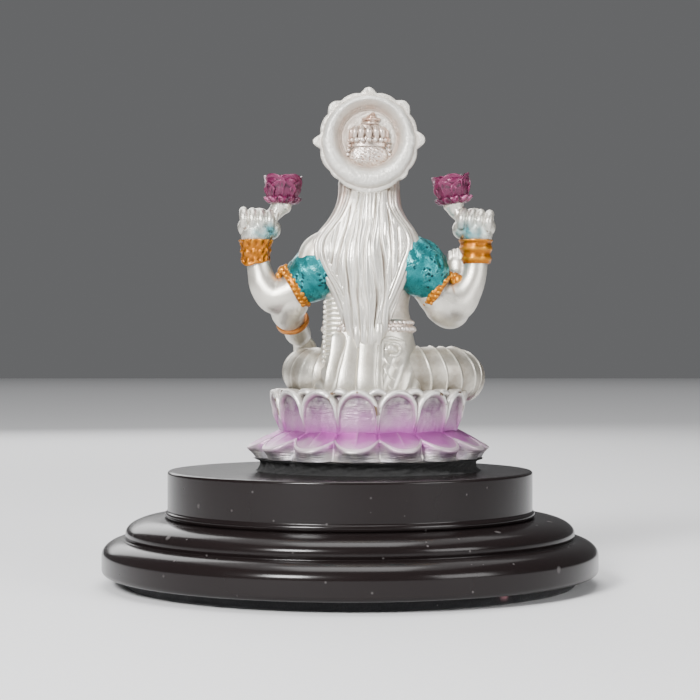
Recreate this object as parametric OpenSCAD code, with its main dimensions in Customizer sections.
// Seated four-armed deity statuette on a lotus seat, mounted on a stepped round plinth.
// The figure faces -Y. The origin is at the centre of the felt's underside, +Z up, millimetres.

/* [Base] */
// Widest diameter of the stepped base
base_d = 80; // [78:0.5:84]
// Diameter of the upright plinth drum
drum_d = 59; // [58:0.5:60]
// Height of the drum's top above the table
base_h = 18.15; // [17.5:0.05:20]
// Thickness of the felt under the base
felt_t = 1.75; // [1:0.05:2]
// Thickness of the black pad between the drum and the lotus seat
pad_t = 2; // [1.5:0.1:2.5]

/* [Lotus seat] */
// Number of petals in each ring
petal_count = 15; // [13:1:17]
// Radius of the seat at the waist between the two petal rings
waist_r = 14.4; // [14:0.1:15]
// Radius over the tips of the lower petals
lower_tip_r = 19.6; // [19:0.1:20.5]
// Height of the whole lotus seat
lotus_h = 11.15; // [10.8:0.05:11.6]

/* [Figure] */
// Sideways offset of the figure and its seat from the plinth's axis
figure_x = -3; // [-5:0.5:0]
// Outside radius of the halo's plain ring
halo_r = 7.85; // [7.4:0.05:8.2]
// Radius of the halo's opening
halo_hole_r = 4.6; // [4.4:0.05:4.8]
// Number of pointed knobs round the halo
halo_knobs = 8; // [6:1:10]

/* [Hidden] */
$fn = 48;

base_r = base_d / 2;
drum_r = drum_d / 2;
shoulder_r = base_r - 3.8;
shoulder_z = base_h - 7.45;
// Depth of the drum's spigot in the base
spigot_depth = 2;
spigot_r = drum_r - 2.4;
seat_z = base_h + pad_t;
waist_z = seat_z + 4.4;
seat_top_z = seat_z + 9.5;
rim_z = seat_z + lotus_h;
halo_z = 71;
halo_y = 4.5;
halo_t = 2.4;
loft_sides = 20;

PEARL = [0.90, 0.89, 0.86];
GLOSS_BLACK = [0.10, 0.08, 0.08];
GOLD = [0.80, 0.50, 0.08];
TEAL = [0.15, 0.58, 0.60];
PINK = [0.55, 0.18, 0.42];

// ---------- shared shapes ----------

// Points of an elliptical arc from angle a0 to a1
function arc(c, rx, ry, a0, a1, n = 6) =
    [for (i = [0:n]) let (a = a0 + (a1 - a0) * i / n) [c[0] + rx * cos(a), c[1] + ry * sin(a)]];

// A solid through level elliptical sections, each given as [centre x, centre y, z, x radius, y radius]
module loft(sections, sides = loft_sides) {
    count = len(sections);
    points = [for (s = sections) for (i = [0:sides - 1]) let (a = 360 * i / sides)
        [s[0] + s[3] * cos(a), s[1] + s[4] * sin(a), s[2]]];
    walls = [for (k = [0:count - 2]) for (i = [0:sides - 1]) let (j = (i + 1) % sides)
        each [[k * sides + i, (k + 1) * sides + i, (k + 1) * sides + j],
              [k * sides + i, (k + 1) * sides + j, k * sides + j]]];
    foot = [[for (i = [0:sides - 1]) i]];
    cap = [[for (i = [sides - 1:-1:0]) (count - 1) * sides + i]];
    polyhedron(points = points, faces = concat(foot, walls, cap));
}

// A cone between two points
module bar(a, ra, b, rb) {
    d = b - a;
    span = norm(d);
    translate(a) rotate([0, acos(d[2] / span), atan2(d[1], d[0])])
        cylinder(h = span, r1 = ra, r2 = rb);
}

// A round limb through a list of [point, radius] joints
module limb(joints) {
    for (j = joints) translate(j[0]) sphere(r = j[1]);
    for (i = [0:len(joints) - 2])
        bar(joints[i][0], joints[i][1] * 0.985, joints[i + 1][0], joints[i + 1][1] * 0.985);
}

// A limb as above in flat facets, with smooth joins
module soft_limb(joints, sides = 18) {
    for (i = [0:len(joints) - 2]) hull() for (j = [joints[i], joints[i + 1]])
        translate(j[0]) sphere(r = j[1], $fn = sides);
}

// The figure's own frame, beside the plinth's axis
module figure() { translate([figure_x, 0, 0]) children(); }

// Mirrors a left piece (side 1) into a right one (side -1)
module side_of(side) { if (side > 0) children(); else mirror([1, 0, 0]) children(); }

// ---------- base ----------

module felt_pad() {
    color("black") cylinder(h = felt_t, r = base_r - 3.6, $fn = 96);
}

module stepped_base() {
    foot_edge = 2.6;
    foot_side_z = felt_t + foot_edge + 0.65;
    groove_z = foot_side_z + 2.2;
    step_z = shoulder_z - 2.4;
    outline = concat(
        [[0, felt_t]],
        arc([base_r - foot_edge, felt_t + foot_edge], foot_edge, foot_edge, -90, 0),
        arc([shoulder_r, foot_side_z], 3.8, 2.3, 0, 72),
        [[shoulder_r, groove_z], [shoulder_r, step_z]],
        arc([shoulder_r - 5, step_z], 5, 2.4, 6, 90),
        [[spigot_r + 0.1, shoulder_z], [spigot_r + 0.1, shoulder_z - spigot_depth], [0, shoulder_z - spigot_depth]]);
    color(GLOSS_BLACK) rotate_extrude($fn = 96) polygon(outline);
}

module plinth_drum() {
    lip_r = drum_r + 0.35;
    color(GLOSS_BLACK) rotate_extrude($fn = 96) polygon([
        [0, shoulder_z - spigot_depth], [spigot_r, shoulder_z - spigot_depth], [spigot_r, shoulder_z],
        [lip_r, shoulder_z], [lip_r, shoulder_z + 1.1], [drum_r, shoulder_z + 1.3],
        [drum_r, base_h - 0.35], [drum_r - 0.35, base_h], [0, base_h]]);
}

module mounting_pad() {
    color("black") figure() translate([0, 0, base_h]) cylinder(h = pad_t, r1 = 17.6, r2 = 18.4, $fn = 96);
}

// ---------- lotus seat ----------

module core_shape() {
    rotate_extrude($fn = 60) polygon([[0, seat_z], [17.4, seat_z], [17.2, seat_z + 1.2],
        [waist_r - 0.5, waist_z], [waist_r - 0.4, waist_z + 1], [waist_r + 0.3, seat_top_z], [0, seat_top_z]]);
}

spigot_h = 2;
figure_spigot_r = 5;

module seat_core() {
    color(PEARL) figure() difference() {
        core_shape();
        translate([0, 0, seat_top_z - spigot_h - 0.2]) cylinder(h = spigot_h + 1, r = figure_spigot_r + 0.05);
    }
}

// Columns round each petal ring, and how far column i is from its petal's middle, 0 to 1
petal_cols = 6;
function petal_x(i) = abs((i % petal_cols) / petal_cols - 0.5) * 2;

// A ring whose section changes round the axis; loops holds one closed list of [radius, z] per column
module swept_ring(loops, rx = 1, ry = 1) {
    cols = len(loops);
    m = len(loops[0]);
    points = [for (i = [0:cols - 1]) let (a = 360 * i / cols) for (q = loops[i])
        [q[0] * cos(a) * rx, q[0] * sin(a) * ry, q[1]]];
    faces = [for (i = [0:cols - 1]) let (n = (i + 1) % cols) for (j = [0:m - 1]) let (k = (j + 1) % m)
        each [[i * m + j, n * m + k, n * m + j], [i * m + j, i * m + k, n * m + k]]];
    polyhedron(points = points, faces = faces);
}

// Section of the upright ring at distance x from a petal's middle: bulged outside, round-topped
function upper_section(x) =
    let (top = rim_z - 1.45 * (1 - sqrt(1 - 0.98 * x * x)), bulge = 0.45 * (1 - x * x) - 0.2)
    [[waist_r - 0.44, waist_z], [waist_r + 0.25 + bulge / 2, waist_z],
     [waist_r + 0.75 + bulge, waist_z + 2.2], [waist_r + 1.35 + bulge, seat_top_z - 0.6],
     [waist_r + 1.75 + bulge / 2, top - 0.35], [waist_r + 1.3 + bulge / 2, top],
     [waist_r + 0.6, top - 0.1], [waist_r + 0.36, seat_top_z], [waist_r - 0.34, waist_z + 1]];

module upper_petals() {
    color(PEARL) figure() swept_ring([for (i = [0:petal_cols * petal_count - 1]) upper_section(petal_x(i))]);
}

// Section of the spreading ring: it slopes down from the waist to a raised tip
function lower_section(x) =
    let (tip = lower_tip_r - 1.5 * pow(x, 1.7), lift = 1.1 * (1 - x))
    [[17.44, seat_z], [tip - 0.9, seat_z + 0.1 + lift / 2], [tip, seat_z + 0.9 + lift],
     [tip - 0.3, seat_z + 1.4 + lift], [tip - 1.5, seat_z + 2.1 + lift / 2],
     [waist_r + 0.6, waist_z - 0.35], [waist_r - 0.44, waist_z], [17.24, seat_z + 1.2]];

module lower_petals() {
    color(PEARL) figure() swept_ring([for (i = [0:petal_cols * petal_count - 1]) lower_section(petal_x(i))]);
}

// ---------- seated lower body ----------

hip_sections = [[0, 1.2, seat_top_z, 8.6, 6.6], [0, 1.1, seat_top_z + 2.4, 9.2, 7], [0, 1, 34.5, 8.8, 6.6],
    [0, 0.9, 37, 7.8, 5.6], [0, 0.8, 39.4, 7.1, 4.6], [0, 0.8, 41, 6.9, 4.3]];
right_thigh = [[[-4.6, -0.5, 34.2], 4.2], [[-15.1, -4.5, 34.5], 3.8]];
right_shin = [[[-15.1, -4.5, 34.3], 3.6], [[-1, -11.4, 32.2], 2.2]];
left_thigh = [[[4.6, -0.5, 34.4], 4.2], [[10.4, -7.4, 35.1], 3.7]];
left_shin = [[[10.4, -7.4, 34.2], 3.5], [[-2.6, -11.2, 36], 2.1]];
right_foot_joints = [[[-0.4, -11.8, 31.7], 1.9], [[4.6, -12.2, 31.4], 1.4]];
left_foot_joints = [[[-3.4, -11, 36.4], 1.9], [[-8.6, -9.6, 37.6], 1.3]];

module hips_shape() { loft(hip_sections); }

module hips() {
    color(PEARL) figure() {
        hips_shape();
        translate([0, 0, seat_top_z - spigot_h]) cylinder(h = spigot_h + 1, r = figure_spigot_r);
    }
}

module right_leg($fn = 24) {
    color(PEARL) figure() difference() {
        union() { limb(right_thigh); limb(right_shin); }
        hips_shape();
        cylinder(h = seat_top_z, r = 30);
        upper_petal_stop();
    }
}

module left_leg($fn = 24) {
    color(PEARL) figure() difference() {
        union() { limb(left_thigh); limb(left_shin); }
        hips_shape();
        limb(right_shin);
        cylinder(h = seat_top_z, r = 30);
    }
}

// The block under a knee that lies over the petals' tips
module upper_petal_stop() {
    difference() {
        cylinder(h = rim_z, r = 30);
        cylinder(h = rim_z, r = waist_r + 0.2);
    }
}

module right_foot($fn = 24) {
    color(PEARL) figure() difference() {
        limb(right_foot_joints);
        limb(right_shin);
        limb(left_shin);
        cylinder(h = seat_top_z, r = 30);
    }
}

module left_foot($fn = 24) {
    color(PEARL) figure() difference() {
        limb(left_foot_joints);
        limb(left_shin);
        limb(right_thigh);
        limb(right_shin);
    }
}

// Flat cloth tails that hang below the hair, each given as [centre x, width, turn]
module sash_tails() {
    tails = [[5.2, 1.9, 5], [2.9, 2.6, 2], [0.2, 2.6, 0], [-2.3, 2.2, -3]];
    color(PEARL) figure() difference() {
        for (t = tails) translate([t[0], 5.4, seat_top_z]) rotate([10, -t[2], 0])
            translate([-t[1] / 2, 0, 0]) cube([t[1], 3, 9.3]);
        hips_shape();
        hair_shape();
        cylinder(h = seat_top_z, r = 30);
    }
}

// ---------- torso and head ----------

torso_sections = [[0, 0.8, 41, 6.9, 4.3], [0, 0.6, 43.5, 6.3, 4], [0, 0.3, 46.5, 6.8, 4.3],
    [0, 0, 50, 8, 4.8], [0, 0.2, 53, 8.6, 4.3], [0, 0.5, 55.2, 7.4, 3.6], [0, 0.7, 56.6, 4.2, 3],
    [0, 0.6, 57.8, 2.7, 2.6], [0, 0.3, 59.8, 2.5, 2.5]];
head_sections = [[0, 0.3, 59.8, 2.5, 2.5], [0, -0.4, 60.6, 3, 3.4], [0, -0.4, 62, 3.6, 4],
    [0, -0.2, 64, 4, 4.2], [0, 0, 66, 4.1, 4.3], [0, 0.1, 67.6, 3.9, 4.1], [0, 0.1, 68.8, 3.6, 3.8]];

// The pin that ties the halo's lower rim to the back of the head
module pin_shape(r) {
    translate([0, 0, halo_z - halo_hole_r - 1.4]) rotate([-90, 0, 0])
        cylinder(h = halo_y - halo_t / 2, r = r, $fn = 24);
}

module torso_shape() { loft(torso_sections); }
module head_shape() { loft(head_sections); }

module torso() { color(PEARL) figure() torso_shape(); }

module head() {
    color(PEARL) figure() difference() {
        head_shape();
        pin_shape(0.62);
    }
}

hair_sections = [[0, 3.9, 38.6, 2.6, 2], [0.2, 3.9, 41, 4, 2.2], [0.4, 3.4, 45, 5.6, 2.8],
    [0.6, 3, 49, 7.4, 3.5], [0.4, 2.9, 52, 8.3, 3.7], [0.2, 2.9, 54.5, 8, 3.6], [0, 2.7, 57, 6.6, 3.5],
    [0, 2.4, 60, 5.3, 3.7], [0, 1.9, 63, 5.1, 4], [0, 1.6, 66, 4.9, 4], [0, 1.4, 68.4, 4.6, 3.8]];

module hair_shape() { loft(hair_sections, 16); }

module hair_fall() {
    color(PEARL) figure() difference() {
        hair_shape();
        torso_shape();
        head_shape();
        hips_shape();
        pin_shape(0.62);
        translate([-20, -9 - 0.6, 56]) cube([40, 9, 20]);
        halo_body(halo_r);
        sleeve_shape(1);
        sleeve_shape(-1);
    }
}

// Tiered crown: bands and bulges that step in to a finial
module crown() {
    color(PEARL) figure() translate([0, 0.1, 68.8])
        rotate_extrude() polygon(concat([[0, 0], [3.9, 0], [4.1, 0.6], [3.9, 1.3]],
            arc([3.3, 2.6], 0.8, 1.2, -70, 70), [[2.8, 3.9]], arc([2.3, 5], 0.8, 1, -70, 70),
            [[1.7, 6.1]], arc([1.2, 6.9], 0.6, 0.7, -70, 70), [[0.5, 7.8], [0.7, 8.4], [0, 9]]));
}

// ---------- halo ----------

// The halo's disc, with a ring of knobs; it stands upright behind the crown
module halo_body(r) {
    translate([0, halo_y - halo_t / 2, halo_z]) rotate([-90, 0, 0]) {
        cylinder(h = halo_t, r = r);
        for (i = [0:halo_knobs - 1]) rotate(360 * i / halo_knobs)
            translate([r - 0.1, 0, 0.4]) cylinder(h = halo_t - 0.8, r = 1.15, $fn = 24);
        for (i = [0:halo_knobs - 1]) rotate(360 * (i + 0.5) / halo_knobs)
            translate([r - 1.6, 0, 0.3]) cylinder(h = halo_t - 0.6, r = 2.3, $fn = 24);
    }
}

module halo_ring() {
    color(PEARL) figure() difference() {
        halo_body(halo_r);
        translate([0, halo_y, halo_z]) rotate([-90, 0, 0]) cylinder(h = 6, r = halo_hole_r);
        translate([0, halo_y - halo_t, halo_z]) rotate([-90, 0, 0]) cylinder(h = 6, r = halo_hole_r - 0.1);
    }
}

// Short pin between the halo and the head
module halo_pin() {
    color(PEARL) figure() pin_shape(0.6);
}

// ---------- jewellery and cloth ----------

module necklace() {
    bead = [for (j = [0:7]) [4.9 + 0.75 * cos(45 * j), 0.75 * sin(45 * j)]];
    color(GOLD) figure() difference() {
        translate([0, -0.7, 55.5]) rotate([24, 0, 0]) swept_ring([for (i = [0:35]) bead], 1, 0.86);
        torso_shape();
        hair_shape();
    }
}

module earrings() {
    color(GOLD) figure() for (s = [1, -1]) translate([s * 4.7, -0.8, 61.6]) {
        sphere(r = 0.7, $fn = 24);
        translate([0, 0, 0.9]) sphere(r = 0.45, $fn = 24);
    }
}

// A beaded belt as one band with a raised wire at its top and foot
module waist_belt() {
    color(PEARL) figure() difference() {
        loft([[0, 0.8, 40.5, 7.3, 4.7], [0, 0.8, 40.9, 7.8, 5.2], [0, 0.8, 41.5, 7.3, 4.7],
            [0, 0.8, 42.1, 7.7, 5.1], [0, 0.8, 42.6, 7.2, 4.6]], 24);
        torso_shape();
        hips_shape();
        hair_shape();
    }
}

// Pleated cloth edge that runs down the left of the back, as one strip with raised rungs
module pleated_sash($fn = 24) {
    rungs = 17;
    color(PEARL) figure() difference() {
        union() for (k = [0:rungs - 1])
            translate([6.5 + 0.05 * abs(k - 9), 2.6 + 0.08 * k, 48 - 1.05 * k]) rotate([0, 0, -38])
                cube([2.8, 2.6, k % 2 == 0 ? 1.06 : 1.08], center = true);
        torso_shape();
        hips_shape();
        hair_shape();
        cylinder(h = seat_top_z, r = 30);
    }
}

// Pleated cloth that fans out in front of the crossed shins
module front_drape() {
    pleats = 5;
    color(PEARL) figure() for (k = [0:pleats - 1]) rotate([0, 0, 0])
        translate([0.4 + 1.5 * (k - (pleats - 1) / 2), -14.35 + 0.12 * abs(k - 2), seat_top_z])
            rotate([0, 7 * (k - (pleats - 1) / 2), 0]) translate([-0.68, 0, 0.3]) cube([1.36, 0.9, 3.4]);
}

// ---------- arms: left shapes, mirrored for the right ----------

shoulder = [7.2, 0.6, 51];
upper_arm = [9.4, 0.5, 49.5];
armlet_at = [11.8, 0.5, 47.8];
rear_elbow = [15.4, 0.3, 46.1];
rear_forearm = [17.6, 0.3, 49.2];
rear_wrist = [17.8, 0.4, 52.4];
cuff_top = [17.9, 0.3, 55.6];
bud_base = [14, 0.2, 61];
front_elbow = [13.3, -1.5, 44.4];
left_front_wrist = [11.2, -11.2, 40.4];
right_front_wrist = [14.3, -8, 49.2];
arm_dir = [0.88, 0, -0.475];

// The half space on the body's side (-1) or the elbow's side (1) of the armlet
module beyond_armlet(way) {
    translate(armlet_at) rotate([0, acos(arm_dir[2]), 0])
        translate([0, 0, way > 0 ? 0 : -14]) cylinder(h = 14, r = 12);
}

module sleeve_shape(side) { side_of(side) soft_limb([[shoulder, 4.5], [upper_arm, 4.3], [armlet_at, 3.7]]); }

module sleeve(side) {
    color(TEAL) figure() difference() {
        sleeve_shape(side);
        torso_shape();
        side_of(side) beyond_armlet(1);
    }
}

armlet_r = 3.6;

module armlet(side) {
    color(GOLD) figure() side_of(side) translate(armlet_at) rotate([0, acos(arm_dir[2]), 0]) difference() {
        cylinder(h = 1.6, r = armlet_r + 0.75);
        translate([0, 0, -1]) cylinder(h = 4, r = armlet_r);
    }
}

module rear_arm_shape() {
    soft_limb([[armlet_at, 3.5], [rear_elbow, 3.1], [rear_forearm, 2.3], [rear_wrist, 2.05]]);
}

module rear_arm(side) {
    color(PEARL) figure() side_of(side) difference() {
        rear_arm_shape();
        beyond_armlet(-1);
        translate(rear_wrist) cylinder(h = 5, r = 4);
    }
}

// Tall flared bracelet, bored to take the wrist and the heel of the hand
module wrist_cuff(side) {
    color(GOLD) figure() side_of(side) translate([rear_wrist[0], rear_wrist[1], rear_wrist[2] - 0.6])
        difference() {
            cylinder(h = cuff_top[2] - rear_wrist[2] + 0.6, r1 = 2.3, r2 = 2.75);
            translate([0, 0, -1]) cylinder(h = 6, r = 2.05);
        }
}

module rear_hand(side) {
    knuckle = [17.6, 0, 58.6];
    color(PEARL) figure() side_of(side) difference() {
        union() {
            translate([17.9, 0.3, 52.5]) cylinder(h = 3.4, r = 2);
            limb([[[17.9, 0.2, 56.6], 2.4], [knuckle, 2.3]]);
            for (f = [0:3]) limb([[knuckle + [1.9 - 1.3 * f, -0.6, 1.1], 0.85], [knuckle + [1.3 - 1.2 * f, -2.4, 0.2], 0.75]]);
            limb([[knuckle + [-1.4, -0.3, 0.6], 1.1], [bud_base + [0.4, 0, -1], 0.8]]);
        }
        translate(bud_base - [0, 0, 2.2]) cylinder(h = 5, r = 0.5, $fn = 24);
        translate(bud_base) cylinder(h = 5, r = 4);
    }
}

module bud_stem(side) {
    color(PINK) figure() side_of(side) translate(bud_base - [0, 0, 2.2]) cylinder(h = 3, r = 0.48, $fn = 24);
}

// Ring of short sepals under the bud
module bud_sepals(side) {
    color(PINK) figure() side_of(side) translate(bud_base) difference() {
        union() {
            cylinder(h = 1.2, r1 = 1.6, r2 = 2.6);
            for (i = [0:7]) rotate(45 * i) translate([2.5, 0, 0.75]) sphere(r = 0.75, $fn = 24);
        }
        translate([0, 0, -1]) cylinder(h = 5, r = 0.5, $fn = 24);
        translate([0, 0, 1.2]) cylinder(h = 2, r = 4);
    }
}

module bud(side) {
    color(PINK) figure() side_of(side) translate(bud_base + [0, 0, 1.2]) {
        rotate_extrude() polygon([[0, 0], [2.2, 0], [2.5, 1.2], [3.3, 3.4], [3, 3.8], [2.2, 3.3], [0, 3.7]]);
    }
}

function front_wrist(side) = side > 0 ? left_front_wrist : right_front_wrist;

module front_arm(side) {
    color(PEARL) figure() side_of(side) difference() {
        soft_limb([[front_elbow, 2.9], [front_wrist(side), 1.6]]);
        beyond_armlet(-1);
        rear_arm_shape();
        translate(front_wrist(side)) sphere(r = 1.75, $fn = 18);
    }
}

// Ring bracelet halfway down the left forearm, and at the right wrist
module front_bangle(side) {
    share = side > 0 ? 0.52 : 0.8;
    middle = front_elbow * (1 - share) + front_wrist(side) * share;
    arm_r = 2.9 * (1 - share) + 1.6 * share;
    d = front_wrist(side) - middle;
    color(GOLD) figure() side_of(side) translate(middle)
        rotate([0, acos(d[2] / norm(d)), atan2(d[1], d[0])]) difference() {
            cylinder(h = 1, r = arm_r + 0.5);
            translate([0, 0, -1]) cylinder(h = 3, r = arm_r);
        }
}

// Lowered open hand on the left, raised open hand on the right
module front_hand(side, $fn = 24) {
    w = front_wrist(side);
    fingers = side > 0 ? [-0.1, -0.3, -0.95] : [0, -0.12, 0.99];
    spread = side > 0 ? [0.99, 0, -0.1] : [0.95, 0.3, 0];
    color(PEARL) figure() side_of(side) union() {
        soft_limb([[w, 1.5], [w + fingers * 1.9, 1.45]]);
        for (f = [-1.5:1:1.5]) let (root = w + fingers * 2.6 + spread * f * 0.8)
            bar(root, 0.5, root + fingers * (2.6 - 0.25 * abs(f - 0.3)), 0.36);
        bar(w + fingers * 0.8 - spread, 0.6, w + fingers * 2.8 - spread * 2.2, 0.45);
    }
}

felt_pad();
stepped_base();
plinth_drum();
mounting_pad();
seat_core();
lower_petals();
upper_petals();
hips();
right_leg();
left_leg();
right_foot();
left_foot();
sash_tails();
pleated_sash();
front_drape();
waist_belt();
torso();
necklace();
head();
earrings();
hair_fall();
crown();
halo_ring();
halo_pin();
sleeve(1);  // left_sleeve
sleeve(-1);  // right_sleeve
armlet(1);  // left_armlet
armlet(-1);  // right_armlet
rear_arm(1);  // left_rear_arm
rear_arm(-1);  // right_rear_arm
wrist_cuff(1);  // left_wrist_cuff
wrist_cuff(-1);  // right_wrist_cuff
rear_hand(1);  // left_rear_hand
rear_hand(-1);  // right_rear_hand
bud_stem(1);  // left_bud_stem
bud_stem(-1);  // right_bud_stem
bud_sepals(1);  // left_bud_sepals
bud_sepals(-1);  // right_bud_sepals
bud(1);  // left_bud
bud(-1);  // right_bud
front_arm(1);  // left_front_arm
front_arm(-1);  // right_front_arm
front_bangle(1);  // left_front_bangle
front_bangle(-1);  // right_front_bangle
front_hand(1);  // left_front_hand
front_hand(-1);  // right_front_hand
